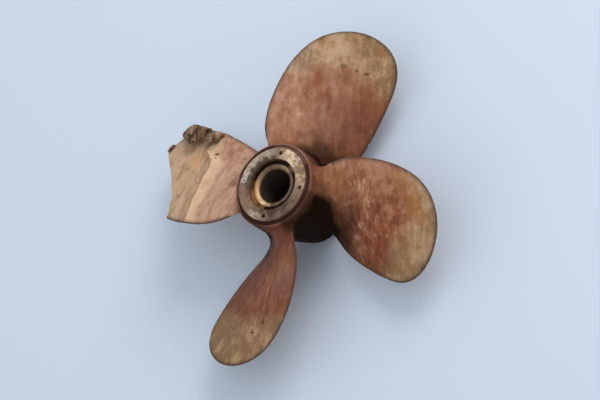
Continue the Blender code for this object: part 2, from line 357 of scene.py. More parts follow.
# The damaged blade.
# Its outer part is bent down about a crease, and its upper corner is torn off along a ragged
# line with teeth in it. Scraps of its lower edge are rolled up, and come later.

crease_lower_radius = 0.465
crease_upper_radius = 0.405
bend_angle = 9.0
bend_width = 0.014
tear_waves = 0.0022
tear_teeth = 0.0012

# The tear, as distances short of the tip circle at distances across the blade
tear_line = ((-0.030, -0.150), (0.017, -0.124), (0.041, -0.087), (0.066, -0.056), (0.092, -0.018),
             (0.106, 0.012), (0.132, 0.042), (0.138, 0.080), (0.152, 0.112), (0.150, 0.160))


def rise(value, low, high):
    """A smooth step from 0 to 1 as a value goes from low to high."""
    share = min(max((value - low) / (high - low), 0.0), 1.0)
    return share * share * (3 - 2 * share)


# The lower end of the crease, its direction, and the level direction out past it
crease_point = blade_point(crease_lower_radius, -1.0, False, damaged_blade)
crease_along = blade_point(crease_upper_radius, 1.0, False, damaged_blade) - crease_point
crease_along.normalize()
crease_out = crease_along.cross(Vector((0, 0, 1))).normalized()


def bent_tip(point):
    """The place of a point of the damaged blade after its tip was bent down."""
    share = rise((point - crease_point).dot(crease_out), -bend_width / 2, bend_width / 2)
    turn = Matrix.Rotation(math.radians(bend_angle) * share, 3, crease_along)
    return crease_point + turn @ (point - crease_point)


def tear_reach(across):
    """How far out along +X the torn edge lies, with its ragged teeth."""
    for (near_short, near), (far_short, far) in zip(tear_line, tear_line[1:]):
        if across <= far:
            break
    share = min(max((across - near) / (far - near), 0.0), 1.0)
    short = near_short + (far_short - near_short) * share
    ragged = (tear_waves * noise.noise(Vector((across * 110, 2.0, 0.0)))
              + tear_teeth * noise.noise(Vector((across * 330, 5.0, 0.0))))
    return propeller_radius - short + ragged


def torn_end(across, upper):
    """The ring on which one line of the damaged blade's mesh meets the tear, by halving."""
    near, far = 0.30, tip_end
    for _ in range(20):
        middle = (near + far) / 2
        point = bent_tip(blade_point(middle, across, upper, damaged_blade))
        if point.x > tear_reach(point.y):
            far = middle
        else:
            near = middle
    return near


last_tied, last_ring = rings[fillet_rows], rings[-1]
ends = {}


def damaged_point(ring, across, upper, number):
    """A point on the skin of the damaged blade, its rings drawn in to end at the tear."""
    line = (round(across, 5), upper)
    if line not in ends:
        ends[line] = torn_end(across, upper)
    free = max(ring - last_tied, 0.0) / (last_ring - last_tied)
    ring += free * (ends[line] - last_ring)
    return bent_tip(blade_point(ring, across, upper, number))


blades.append(shaped_blade(damaged_blade, damaged_point))


def combined(piece, operation, guides):
    """Joins guides to a piece, or cuts them out of it, and removes the guides."""
    for guide in guides:
        boolean = piece.modifiers.new(guide.name, "BOOLEAN")
        boolean.operation = operation
        boolean.solver = "MANIFOLD"
        boolean.object = guide
    scene_now = bpy.context.evaluated_depsgraph_get()
    mesh = bpy.data.meshes.new_from_object(piece.evaluated_get(scene_now))
    piece.modifiers.clear()
    piece.data = mesh
    for guide in guides:
        bpy.data.objects.remove(guide)


combined(casting, "UNION", blades)


# The tapped holes in the ring's seat, one in line with each blade.
# They are drilled blind into the casting, and three of the four are empty.

screw_count = 4
screw_circle_radius = 0.115
screw_hole_radius = 0.007
tapped_depth = 0.020
tapped_flare = 0.0008
drill_point = 0.004
drill_spare = 0.020
drill_sides = 32


def at_bearing(bearing, radius, height):
    """A point at a bearing, in degrees, and a distance from the shaft's axis."""
    angle = math.radians(bearing)
    return Vector((radius * math.cos(angle), radius * math.sin(angle), height))


def screw_place(number, height=0.0):
    """A point on a screw's axis. Each screw is in line with the blade of its number."""
    bearing = first_blade_angle + number * 360 / screw_count
    return at_bearing(bearing, screw_circle_radius, height)


def drill_holes(piece, bottom, face, flare):
    """Cuts the screw holes down from a face, each with a cone point and a countersink."""
    radius, top = screw_hole_radius, face + drill_spare
    drills = []
    for number in range(screw_count):
        shape = turned_shape([(0.0, bottom - drill_point, 0.0), (radius, bottom, 0.0),
                              (radius, face - flare, 0.0), (radius + flare, face, 0.0),
                              (radius + flare, top, 0.0), (0.0, top, 0.0)], drill_sides)
        bmesh.ops.translate(shape, verts=shape.verts, vec=screw_place(number))
        drills.append(add_object(f"drill_{number}", shape))
    combined(piece, "DIFFERENCE", drills)


drill_holes(casting, seat_height - tapped_depth, seat_height, tapped_flare)


# The casting's rough skin.
# Sand casting, wear and corrosion leave the bronze faintly lumpy and pitted, except on the
# turned faces.

skin_lumps = 0.00035
skin_grain = 0.00018
skin_loss = 0.0002
merge_distance = 0.00004
turned_bottom = 0.002
turned_top = seat_height - 0.001
turned_radius = recess_radius + 0.004
casting_sharp_angle = 38.0

skin = bmesh.new()
skin.from_mesh(casting.data)
bmesh.ops.remove_doubles(skin, verts=skin.verts, dist=merge_distance)
bmesh.ops.dissolve_degenerate(skin, edges=skin.edges, dist=merge_distance)
skin.normal_update()
for corner in skin.verts:
    place = corner.co.copy()
    radius = math.hypot(place.x, place.y)
    if turned_bottom <= place.z <= turned_top and radius >= turned_radius:
        lumps = skin_lumps * noise.noise(place * 60) + skin_grain * noise.noise(place * 190)
        corner.co += corner.normal * (lumps - skin_loss)
skin.to_mesh(casting.data)
skin.free()
shade(casting.data, casting_sharp_angle)


# Where the finish of the casting changes.
# Each corner of the mesh carries its place on its blade, how bleached it is, and how far it
# lies inside the tan tips, the grease and painted shade, the crease and the flecks of scale.

# For each blade: how bleached it is, how much more so a metre across it, where the tan of its
# tip starts if not at a crease, how many flecks it has, how far off the hub the grease and painted
# shade reach, how far up the hub they go beyond the blade, and how far round from its middle that
# starts
blade_bleach = (0.42, 0.50, 0.95, 0.06)
bleach_across = (1.5, 1.5, 0.4, 1.2)
tan_start = (0.505, 0.482, None, 0.455)
blade_flecks = (1.0, 0.1, 0.1, 0.4)
grease_and_shade_end = (0.090, 0.040, 0.060, 0.050)
grease_and_shade_rise = (0.095, 0.120, 0.120, 0.150)
grease_and_shade_turn = (25.0, 25.0, 25.0, 14.0)
grease_and_shade_height = 0.150
hub_bleach = -0.08
hub_blend = 0.05

# How far out past the crease a place on a sound blade counts as being
no_crease = -1.0

# The first blade has a darker band across its lower half, at a distance from the axis
band_bleach = -0.15
band_radius = 0.385
band_width = 0.022

mark_names = ("edge_distance", "bleach", "tan_reach", "grease_and_shade_reach", "crease_reach",
              "fleck_share")
marks, blade_places = [], []
root_radius = hub_radius(blades_height)
for corner in casting.data.vertices:
    place = corner.co
    radius = math.hypot(place.x, place.y)
    bearing = math.degrees(math.atan2(place.y, place.x)) - first_blade_angle
    number = round(bearing / 90) % blade_count
    off_middle = (bearing - number * 90 + 180) % 360 - 180
    angle = math.radians(off_middle)
    out_along, across_blade = radius * math.cos(angle), radius * math.sin(angle)
    off_hub = radius - hub_radius(place.z)
    clear_of_hub = rise(off_hub, 0.0, hub_blend)

    # The distance from the blade's outline, which the hub counts as far from
    span = min(max((radius - root_radius) / (propeller_radius - root_radius), 0.0), 1.0)
    pitch_angle = math.atan2(pitch, 2 * math.pi * max(radius, root_radius))
    along = ((place.z - blades_height - tip_rake * span) * math.sin(pitch_angle)
             + radius * angle * math.cos(pitch_angle))
    half_chord = chord(min(span, 0.9999)) / 2
    across = (along + tip_skew * span ** 2) / half_chord
    gap = edge_gap(radius, across, half_chord) + max(0.06 - off_hub, 0.0)

    # How bleached it is: least on the hub and towards the lower root
    bleach = blade_bleach[number] + bleach_across[number] * across_blade
    if number != damaged_blade:
        bleach -= 0.08 * rise(-across_blade, 0.0, 0.08) * (1 - rise(out_along, 0.25, 0.42))
    if number == 0:
        band = math.exp(-((out_along - band_radius) / band_width) ** 2)
        bleach += band_bleach * band * rise(-across_blade, 0.0, 0.05)
    bleach = hub_bleach + (bleach - hub_bleach) * clear_of_hub

    # The tan tips. On the damaged blade the tan starts at the crease.
    if number == damaged_blade:
        beyond = (Vector((out_along, across_blade, place.z)) - crease_point).dot(crease_out)
        tan_reach = beyond
    else:
        beyond = no_crease
        tan_reach = radius - tan_start[number]
    if number == 0:
        tan_reach += 0.060 * rise(-across_blade, 0.02, 0.11)
        tan_reach += 0.045 * rise(across_blade, 0.03, 0.10)
    if number == 1:
        tan_reach += 0.034 * rise(across_blade, 0.00, 0.09)
        tan_reach += 0.018 * rise(-across_blade, 0.15, 0.21)

    # The grease, which is also painted shade, lies low on the roots, and higher on the hub between
    # the blades
    before = grease_and_shade_rise[number - 1] * rise(-off_middle, -10, 8)
    behind = grease_and_shade_rise[number] * rise(off_middle, grease_and_shade_turn[number], grease_and_shade_turn[number] + 20)
    grease_and_shade_top = grease_and_shade_height + max(before, behind) * (1 - clear_of_hub)
    grease_and_shade_reach = min(grease_and_shade_top - place.z, grease_and_shade_end[number] - off_hub)

    # The flecks lie on the inner half of a blade
    flecks = rise(out_along, 0.20, 0.26) * (1 - rise(out_along, 0.35, 0.43))
    flecks *= (1 - rise(abs(across_blade + 0.03), 0.09, 0.17)) * blade_flecks[number]

    crease_reach = beyond - 0.05 * rise(-across_blade, 0.09, 0.16)
    marks.append((gap, bleach, tan_reach, grease_and_shade_reach, crease_reach, flecks))
    blade_places += (out_along, across_blade, number)

places = casting.data.attributes.new("blade_place", "FLOAT_VECTOR", "POINT")
places.data.foreach_set("vector", blade_places)
for name, values in zip(mark_names, zip(*marks)):
    casting.data.attributes.new(name, "FLOAT", "POINT").data.foreach_set("value", values)


# The finish of the casting.
# Old bronze with a red-brown skin, bleached pinkish in places and rubbed to tan at the tips,
# with flecks of scale, orange stains, streaks that ran down it, and black grease at the hub.
# The grease is also painted shade, as are the dark edges and the dark line by the crease, and
# the bright strip by the crease is a painted highlight.


class Finish:
    """A material that is put together from patterns in the object's own coordinates."""

    def __init__(self, name, roughness, metallic, specular=0.5):
        self.material = bpy.data.materials.new(name)
        self.material.use_nodes = True
        self.tree = self.material.node_tree
        self.shader = self.tree.nodes["Principled BSDF"]
        self.set_shader("Roughness", roughness)
        self.set_shader("Metallic", metallic)
        self.set_shader("Specular IOR Level", specular)
        self.here = self.node("ShaderNodeTexCoord").outputs["Object"]
        self.colour = None

    def feed(self, socket, value):
        """Links a socket to an output, or sets its value."""
        if isinstance(value, bpy.types.NodeSocket):
            self.tree.links.new(value, socket)
        elif socket.type == "RGBA" and len(value) == 3:
            socket.default_value = (*value, 1.0)
        else:
            socket.default_value = value

    def set_shader(self, name, value):
        """Feeds one input of the shader."""
        self.feed(self.shader.inputs[name], value)

    def node(self, kind, **values):
        """A node with its own settings, and its inputs fed by name or number."""
        made = self.tree.nodes.new(kind)
        for name, value in values.items():
            if hasattr(made, name):
                setattr(made, name, value)
            else:
                self.feed(made.inputs[int(name[1:]) if name[0] == "_" else name], value)
        return made

    def attribute(self, name, output="Fac"):
        """What the corners of the mesh carry under a name."""
        return self.node("ShaderNodeAttribute", attribute_name=name).outputs[output]

    def maths(self, operation, first, second):
        """One sum with two values."""
        made = self.node("ShaderNodeMath", operation=operation, _0=first, _1=second)
        return made.outputs[0]

    def vector_maths(self, operation, first, second=(0.0, 0.0, 0.0)):
        """One sum with two vectors, or the length of one."""
        made = self.node("ShaderNodeVectorMath", operation=operation, _0=first, _1=second)
        gives_value = operation in ("DISTANCE", "DOT_PRODUCT", "LENGTH")
        return made.outputs["Value" if gives_value else "Vector"]

    def part(self, vector, axis):
        """One coordinate of a vector."""
        return self.node("ShaderNodeSeparateXYZ", Vector=vector).outputs[axis]

    def off_axis(self):
        """The distance from the shaft's axis."""
        return self.vector_maths("LENGTH", self.vector_maths("MULTIPLY", self.here, (1, 1, 0)))

    def step(self, value, low, high, first=0.0, last=1.0):
        """A smooth step from first to last as the value goes from low to high."""
        if low > high:
            low, high, first, last = high, low, last, first
        made = self.node("ShaderNodeMapRange", interpolation_type="SMOOTHSTEP",
                         _0=value, _1=low, _2=high, _3=first, _4=last)
        return made.outputs[0]

    def both(self, first, *others):
        """A mask that is strong only where all of these masks and shares are."""
        for other in others:
            first = self.maths("MULTIPLY", first, other)
        return first

    def band(self, value, start, full, fading, end):
        """A mask between two values, soft at both ends."""
        return self.both(self.step(value, start, full), self.step(value, end, fading))

    def stretched(self, vector, direction, ratio):
        """Coordinates in which patterns are longer along a direction."""
        dot = self.vector_maths("DOT_PRODUCT", vector, direction)
        shift = self.node("ShaderNodeVectorMath", operation="SCALE", _0=direction,
                          Scale=self.maths("MULTIPLY", dot, 1.0 / ratio - 1.0))
        return self.vector_maths("ADD", vector, shift.outputs[0])

    def warped(self, vector, scale, size):
        """Coordinates whose first two parts are pushed about by noise."""
        made = self.node("ShaderNodeTexNoise", Vector=self.here, Scale=scale, Detail=4.0)
        push = self.vector_maths("SUBTRACT", made.outputs["Color"], (0.5, 0.5, 0.5))
        push = self.vector_maths("MULTIPLY", push, (size, size, 0.0))
        return self.vector_maths("ADD", vector, push)

    def cloud(self, scale, vector=None, detail=4.0):
        """Smooth noise, from 0 to 1."""
        made = self.node("ShaderNodeTexNoise", Vector=vector or self.here, Scale=scale,
                         Detail=detail, Roughness=0.55)
        return made.outputs["Fac"]

    def varied(self, value, *patterns):
        """A value moved by pairs of a size and a pattern, up or down by half of each size."""
        for size, pattern in patterns:
            moved = self.maths("MULTIPLY", self.maths("SUBTRACT", pattern, 0.5), size)
            value = self.maths("ADD", value, moved)
        return value

    def spots(self, scale, low, high, vector=None, detail=4.0, first=0.0, last=1.0):
        """A mask of irregular spots, from first to last where noise goes from low to high."""
        return self.step(self.cloud(scale, vector, detail), low, high, first, last)

    def patch(self, vector, centre, size, share):
        """A mask of some share round one point, soft at its edge."""
        away = self.vector_maths("DISTANCE", vector, centre)
        return self.step(away, 1.3 * size, 0.6 * size, 0.0, share)

    def ramp(self, value, *stops):
        """A colour that follows a value through stops of a place and a colour."""
        made = self.node("ShaderNodeValToRGB", _0=value)
        elements = made.color_ramp.elements
        while len(elements) < len(stops):
            elements.new(0.5)
        for element, (place, colour) in zip(elements, stops):
            element.position = place
            element.color = (*colour, 1.0)
        return made.outputs["Color"]

    def paint(self, colour, *masks):
        """Lays a colour over what is there, as far as all the masks and shares say."""
        made = self.node("ShaderNodeMix", data_type="RGBA", _0=self.both(*masks),
                         _6=self.colour, _7=colour)
        self.colour = made.outputs[2]

    def paint_marks(self, vector, height, marks, *masks):
        """Paints marks round the axis: each a bearing, a radius, a size, a share and a colour."""
        for bearing, radius, size, share, colour in marks:
            mark = self.patch(vector, at_bearing(bearing, radius, height), size, share)
            self.paint(colour, mark, *masks)

    def raise_surface(self, *heights):
        """Bumps, from pairs of a height and its size in metres."""
        normal = None
        for height, distance in heights:
            bump = self.node("ShaderNodeBump", Height=height, Distance=distance)
            if normal:
                self.feed(bump.inputs["Normal"], normal)
            normal = bump.outputs["Normal"]
        self.set_shader("Normal", normal)

    def cover(self, piece):
        """Gives the colour to the shader, and the material to a piece."""
        self.set_shader("Base Color", self.colour)
        piece.data.materials.clear()
        piece.data.materials.append(self.material)


dark_red = (0.200, 0.066, 0.034)
red_brown = (0.280, 0.100, 0.048)
mid_brown = (0.345, 0.152, 0.086)
pink_tan = (0.435, 0.217, 0.139)
pale_pink = (0.550, 0.325, 0.215)
scale_cream = (0.620, 0.365, 0.215)
orange_brown = (0.380, 0.150, 0.042)
ochre = (0.375, 0.148, 0.050)
dark_olive = (0.270, 0.160, 0.078)
tip_tan = (0.430, 0.265, 0.140)
light_tan = (0.540, 0.360, 0.210)
beige = (0.610, 0.410, 0.265)
lip_light_pink = (0.290, 0.155, 0.120)
lip_brown = (0.180, 0.088, 0.068)
groove_dirt_and_shade = (0.060, 0.022, 0.014)
recess_dirt_and_shade = (0.034, 0.015, 0.008)
bore_grease_and_shade = (0.056, 0.042, 0.032)
grease_and_shade_brown = (0.060, 0.025, 0.013)
black_grease_and_shade = (0.012, 0.006, 0.003)
painted_shade_brown = (0.085, 0.045, 0.032)
pit_brown = (0.110, 0.045, 0.028)

bronze = Finish("old_cast_bronze", roughness=0.6, metallic=0.12)
dripping = bronze.stretched(bronze.here, picture_up, 7.0)
streaks = bronze.stretched(bronze.here, picture_up, 1.6)
on_blade = bronze.warped(bronze.attribute("blade_place", "Vector"), 35.0, 0.030)

# The skin, from dark red-brown to bleached
pale = bronze.varied(bronze.attribute("bleach"), (0.80, bronze.cloud(6.5)),
                     (0.75, bronze.cloud(26.0, detail=5.0)),
                     (1.10, bronze.cloud(48.0, dripping, detail=3.0)),
                     (0.45, bronze.cloud(170.0)))
bronze.colour = bronze.ramp(pale, (0.0, dark_red), (0.25, red_brown), (0.50, mid_brown),
                            (0.75, pink_tan), (1.0, pale_pink))

# The tips are olive to tan
tan_here = bronze.varied(bronze.attribute("tan_reach"), (0.12, bronze.cloud(12.0, detail=6.0)),
                         (0.06, bronze.cloud(60.0)))
tan_tone = bronze.varied(bronze.cloud(15.0, detail=5.0), (0.5, bronze.cloud(55.0, dripping)),
                         (0.30, bronze.attribute("bleach")), (0.40, bronze.cloud(140.0)))
tan_tone = bronze.ramp(tan_tone, (0.30, dark_olive), (0.44, tip_tan), (0.58, light_tan),
                       (0.72, beige))
bronze.paint(tan_tone, bronze.step(tan_here, -0.040, 0.040), 0.86)

# The damaged blade has a dark line of painted shade and streaks just outside its crease, scuffs
# along it, and a bright strip of painted highlight inside it
crease_here = bronze.varied(bronze.attribute("crease_reach"), (0.016, bronze.cloud(40.0)))
# Painted shade: a dark line just outside the crease
bronze.paint(red_brown, bronze.band(crease_here, -0.001, 0.002, 0.004, 0.012), 0.30)
bronze.paint((0.270, 0.160, 0.090), bronze.band(crease_here, 0.000, 0.006, 0.020, 0.060),
             bronze.spots(44.0, 0.36, 0.62, dripping, detail=5.0), 0.65)
scuff_along = Matrix.Rotation(blade_angle(damaged_blade), 3, "Z") @ crease_along
scuffed = bronze.stretched(bronze.here, scuff_along, 4.0)
on_damaged = bronze.step(crease_here, -0.50, -0.40)
for scale, share, tone in ((62.0, 0.36, (0.250, 0.125, 0.080)),
                           (47.0, 0.30, (0.720, 0.480, 0.350))):
    scuffs = bronze.spots(scale, 0.50, 0.66, scuffed, detail=5.0)
    bronze.paint(tone, scuffs, share, on_damaged)
# Painted highlight: a bright strip inside the crease
bronze.paint((0.800, 0.540, 0.360), bronze.band(crease_here, -0.060, -0.026, -0.004, 0.003),
             bronze.spots(20.0, 0.30, 0.56, dripping, 5.0, first=0.25, last=0.90))

# The first blade is redder than the rest, with red streaks and flecks of scale
redder = bronze.varied(bronze.cloud(26.0, detail=6.0), (1.0, bronze.cloud(64.0, streaks)))
redder = bronze.ramp(redder, (0.36, (0.190, 0.046, 0.020)), (0.50, (0.360, 0.105, 0.042)),
                     (0.66, (0.580, 0.250, 0.125)))
bronze.paint(redder, bronze.patch(on_blade, (0.330, -0.020, 0), 0.190, 0.46))
fleck_share = bronze.attribute("fleck_share")
haze = bronze.spots(36.0, 0.45, 0.62, streaks, detail=5.0)
bronze.paint((0.230, 0.062, 0.028), bronze.spots(56.0, 0.48, 0.62, dripping), fleck_share, 0.65)
bronze.paint((0.460, 0.200, 0.115), haze, fleck_share, 0.45)
bronze.paint(scale_cream, bronze.spots(74.0, 0.53, 0.64, streaks), haze, fleck_share, 0.6)
speckles = bronze.spots(105.0, 0.48, 0.58, streaks)
speckle_places = (
    ((0.300, 0.060, 0), 0.030), ((0.330, 0.010, 0), 0.024), ((0.262, 0.052, 0), 0.016),
    ((0.300, -0.065, 0), 0.018), ((0.395, -0.090, 0), 0.018), ((0.350, -0.130, 0), 0.015),
    ((0.172, 0.064, 0), 0.014), ((0.455, -0.085, 0), 0.016), ((0.420, -0.215, 0), 0.012),
    ((0.243, 0.030, 0), 0.014), ((0.246, -0.005, 0), 0.011))
for centre, size in speckle_places:
    bronze.paint(scale_cream, bronze.patch(on_blade, centre, size, 0.6), speckles)

# Stains and pits in places of their own: where on which blade, how large, how strong
broken = bronze.spots(80.0, 0.38, 0.58, streaks, 5.0, first=0.30)
# The dark mark at 0.155 on the first blade, by the hub, is a painted shadow of a chain
stains = (
    ((0.515, 0.010, 0), 0.036, 0.85, orange_brown), ((0.488, 0.060, 0), 0.040, 0.75, orange_brown),
    ((0.545, -0.024, 0), 0.026, 0.65, orange_brown), ((0.440, 0.100, 0), 0.034, 0.50, orange_brown),
    ((0.205, 0.055, 0), 0.048, 0.70, ochre), ((0.155, 0.020, 0), 0.026, 0.50, painted_shade_brown),
    ((0.375, -0.105, 0), 0.055, 0.60, (0.290, 0.070, 0.030)),
    ((0.350, 0.120, 0), 0.045, 0.50, (0.560, 0.300, 0.200)),
    ((0.245, 0.050, 0), 0.022, 0.60, (0.260, 0.060, 0.028)),
    ((0.475, -0.165, 0), 0.050, 0.75, (0.320, 0.165, 0.075)),
    ((0.240, 0.000, 0), 0.030, 0.50, dark_red), ((0.270, 0.035, 0), 0.022, 0.45, dark_red),
    ((0.440, -0.140, 0), 0.035, 0.35, (0.360, 0.210, 0.160)),
    ((0.300, -0.060, 1), 0.080, 0.30, (0.260, 0.125, 0.095)),
    ((0.564, -0.171, 1), 0.014, 0.60, orange_brown),
    ((0.490, 0.085, 1), 0.050, 0.95, (0.310, 0.185, 0.112)),
    ((0.466, -0.104, 2), 0.021, 0.90, (0.600, 0.310, 0.120)),
    ((0.450, -0.080, 2), 0.015, 0.85, (0.640, 0.360, 0.150)),
    ((0.500, -0.135, 2), 0.017, 0.55, (0.520, 0.270, 0.120)),
    ((0.310, 0.090, 3), 0.060, 0.50, (0.230, 0.122, 0.105)))
for centre, size, share, stain in stains:
    bronze.paint(stain, bronze.patch(on_blade, centre, size, share), broken)
large_pits = (
    ((0.480, -0.135, 1), 0.009, 0.75), ((0.485, -0.100, 1), 0.007, 0.70),
    ((0.490, -0.052, 1), 0.010, 0.55), ((0.396, -0.138, 2), 0.008, 0.85),
    ((0.392, -0.120, 2), 0.005, 0.70), ((0.464, 0.037, 3), 0.008, 0.80),
    ((0.500, -0.003, 3), 0.007, 0.80))
for centre, size, share in large_pits:
    bronze.paint(pit_brown, bronze.patch(on_blade, centre, size, share))

# The lip of the hub's large end is brown, with pinkish marks of painted light on the side towards
# the light. The groove inside is dark with dirt and painted shade.
height_here = bronze.part(bronze.here, "Z")
axis_gap = bronze.off_axis()
lip = bronze.step(height_here, lip_top - 0.0035, lip_top - 0.0005)
groove = bronze.both(bronze.step(axis_gap, lip_inner_radius + 0.0005, lip_inner_radius - 0.0010),
                     bronze.step(height_here, seat_height - 0.0050, seat_height - 0.0010))
bronze.paint(lip_brown, lip, 0.75)
bronze.paint(groove_dirt_and_shade, groove, 0.9)
on_lip = bronze.warped(bronze.here, 45.0, 0.020)
lit_lip_marks = [(bearing, 0.145, 0.032, 0.80, lip_light_pink)
              for bearing in (108, 128, 148, 205, 225, 245)]
bronze.paint_marks(on_lip, lip_top, lit_lip_marks, bronze.maths("MAXIMUM", lip, groove))
# Painted shade on the lip round bearing 305, away from the light
bronze.paint_marks(on_lip, lip_top, [(305, 0.146, 0.070, 0.80, groove_dirt_and_shade)],
                   bronze.step(height_here, 0.285, 0.305))

# Small pits anywhere, grease that is also painted shade, and painted shade along the edges
pits = bronze.both(bronze.spots(120.0, 0.64, 0.70, detail=2.0), bronze.spots(16.0, 0.50, 0.58))
bronze.paint(pit_brown, pits, 0.6)
# Grease, also painted shade, low on the hub and the roots
grease_and_shade_here = bronze.varied(bronze.attribute("grease_and_shade_reach"),
                            (0.10, bronze.cloud(24.0, detail=5.0)))
bronze.paint(grease_and_shade_brown, bronze.step(grease_and_shade_here, -0.075, -0.005), 0.85)
bronze.paint(black_grease_and_shade, bronze.step(grease_and_shade_here, -0.010, 0.040), 0.95)
# Painted shade along the edges of the blades
edge_shade_here = bronze.varied(bronze.attribute("edge_distance"), (0.006, bronze.cloud(60.0)))
bronze.paint(painted_shade_brown, bronze.step(edge_shade_here, 0.019, 0.005), 0.42)
bronze.paint(painted_shade_brown, bronze.step(edge_shade_here, 0.008, 0.003), 0.75)

# The recess is dark brown with dirt and painted shade, and golden on one side with painted light.
# The bore is dark with grease and painted shade.
inside = bronze.step(axis_gap, recess_radius + 0.0020, recess_radius + 0.0008)
bronze.paint(recess_dirt_and_shade, inside)
# Painted light on the recess wall, golden at bearings 240 to 300 where the light falls
bronze.paint_marks(bronze.here, recess_floor + 0.006, (
    (240, 0.090, 0.026, 0.60, (0.240, 0.110, 0.045)),
    (268, 0.088, 0.032, 0.90, (0.520, 0.260, 0.100)),
    (300, 0.086, 0.014, 0.80, (0.520, 0.280, 0.120)),
    (64, 0.086, 0.026, 0.60, (0.280, 0.150, 0.075)),
    (110, 0.084, 0.016, 0.85, (0.520, 0.340, 0.200))), inside)
bronze.paint(bore_grease_and_shade,
             bronze.step(axis_gap, bore_large_radius + 0.0015, bore_large_radius + 0.0005))

# Grease and its painted shade are dull, and the skin is rough in patches, with lumps, grain and
# pits
bronze.set_shader("Specular IOR Level", bronze.step(grease_and_shade_here, -0.050, 0.030, 0.14, 0.02))
bronze.set_shader("Roughness", bronze.spots(30.0, 0.3, 0.7, detail=5.0, first=0.50, last=0.70))
bronze.raise_surface((bronze.cloud(75.0, detail=6.0), 0.0006),
                     (bronze.cloud(420.0, detail=3.0), 0.0002), (bronze.both(pits, -1.0), 0.0008))
bronze.cover(casting)
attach(casting, "root")
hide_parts("propeller_casting")


# The rolled scraps of the damaged blade's lower edge.
# Torn strips of the blade, rolled up and back over its face and crumpled. They are still part
# of the casting. Their broken skin is ochre and grey brown, with dark spots.

# For each: where it starts and ends, short of the tip circle, the radius of its roll, how far
# it turns, and how far over the blade its middle lies, in rolls
scraps = ((0.100, 0.026, 0.044, 250.0, 1.02), (0.160, 0.112, 0.028, 245.0, 1.75),
          (0.008, 0.002, 0.008, 215.0, 0.70))
scrap_wall = 0.0054
scrap_tuck = 16.0
scrap_end_size = 0.5
scrap_rows = 64
scrap_dents = 0.12
scrap_raggedness = 0.24
crumple_height = 0.0040
wrinkle_height = 0.0014


def lower_edge(radius, upper):
    """A corner of the damaged blade's lower edge, before its nose was rounded."""
    middle = bent_tip(blade_point(radius, -1.0, False, damaged_blade))
    return middle + Vector((0, 0, edge_thickness / 2 if upper else -edge_thickness / 2))


def rolled_scrap(index, start, end, roll, turn, inset):
    """A strip of the lower edge, rolled up and back over the blade and crumpled."""
    frames = []
    for row in range(scrap_rows + 1):
        radius = propeller_radius - start + (start - end) * row / scrap_rows
        bottom, top = lower_edge(radius, False), lower_edge(radius, True)
        up = (top - bottom).normalized()
        out = (bottom - lower_edge(radius - scrap_wall, False)).cross(up).normalized()
        frames.append(((bottom + top) / 2, out, up))
    sheet, tops = metal_sheet(scrap_rows, scrap_rows)
    for corner in sheet.verts:
        share = (corner.co.x + 1) / 2
        curl = (corner.co.y + 1) / 2
        edge, out, up = frames[round(share * scrap_rows)]
        reach = roll * (scrap_end_size + (1 - scrap_end_size) * math.sin(math.pi * share))
        centre = edge + up * reach - out * reach * inset
        dent = 0.3 + noise.noise(Vector((share * 5.0, index * 9.0, curl * 2.5)))
        reach *= 1 - scrap_dents * dent
        short = 0.5 + 0.5 * noise.noise(Vector((share * 9.0, index * 5.0, 1.0)))
        ragged = 1 - scrap_raggedness * short
        angle = math.radians(-90 - scrap_tuck + (scrap_tuck + turn) * curl * ragged)
        spoke = math.cos(angle) * out + math.sin(angle) * up
        side = 0.5 if corner in tops else -0.5
        wall = scrap_wall * (1.15 - 0.55 * curl ** 3)
        place = centre + reach * spoke
        crumple = crumple_height * noise.noise(place * 45)
        crumple += wrinkle_height * noise.noise(place * 150)
        corner.co = place + (crumple + side * wall) * spoke
    return turned_to_blade(damaged_blade, f"rolled_scrap_{index}", sheet, sharp_angle=60.0)


torn = Finish("torn_bronze", roughness=0.65, metallic=0.12, specular=0.3)
torn_tone = torn.varied(torn.cloud(38.0, detail=5.0), (0.9, torn.cloud(120.0)))
torn.colour = torn.ramp(torn_tone, (0.30, (0.060, 0.030, 0.018)), (0.45, (0.180, 0.098, 0.045)),
                        (0.58, (0.260, 0.155, 0.080)), (0.74, (0.400, 0.275, 0.185)))
torn.paint((0.035, 0.018, 0.012), torn.spots(42.0, 0.52, 0.60), 0.85)
torn.raise_surface((torn.cloud(130.0, detail=6.0), 0.0012),
                   (torn.cloud(480.0, detail=3.0), 0.0003))
for index, scrap in enumerate(scraps):
    curl_piece = rolled_scrap(index, *scrap)
    torn.cover(curl_piece)
    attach(curl_piece, "root")
    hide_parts("propeller_casting")


# The ring on the hub's large end.
# A turned bronze ring, held by four screws of which one is left. Its face has gone greenish
# grey, olive and brown, with paler rubbed places and a cream painted highlight, and its outer
# wall is painted dark as shade.

ring_radius = 0.134
ring_thickness = 0.014
ring_edge = 0.0024
ring_flare = 0.0009
ring_sharp_angle = 30.0
ring_bottom = hub_length - ring_thickness
ring = add_object("machined_ring", turned_shape(
    [(recess_radius, ring_bottom, 0.0), (ring_radius, ring_bottom, 0.0),
     (ring_radius, hub_length, ring_edge), (recess_radius, hub_length, ring_edge)],
    hub_segments))
drill_holes(ring, ring_bottom - drill_spare, hub_length, ring_flare)
shade(ring.data, ring_sharp_angle)

grey = (0.430, 0.345, 0.255)
white = (0.570, 0.480, 0.370)
cream = (0.880, 0.640, 0.410)
gold = (0.600, 0.410, 0.245)
tan = (0.270, 0.172, 0.105)
brown = (0.110, 0.068, 0.042)
pink = (0.280, 0.155, 0.115)
dark = (0.055, 0.028, 0.015)
ring_wall_shade = (0.100, 0.040, 0.028)
ring_bore_shade = (0.110, 0.055, 0.026)

dull = Finish("dull_ring_bronze", roughness=0.5, metallic=0.15, specular=0.3)
on_ring = dull.warped(dull.here, 40.0, 0.030)
ring_turn = dull.maths("ARCTAN2", dull.part(on_ring, "Y"), dull.part(on_ring, "X"))
ring_turn = dull.maths("DIVIDE", ring_turn, 2 * math.pi)
ring_turn = dull.maths("ADD", ring_turn, 0.5)
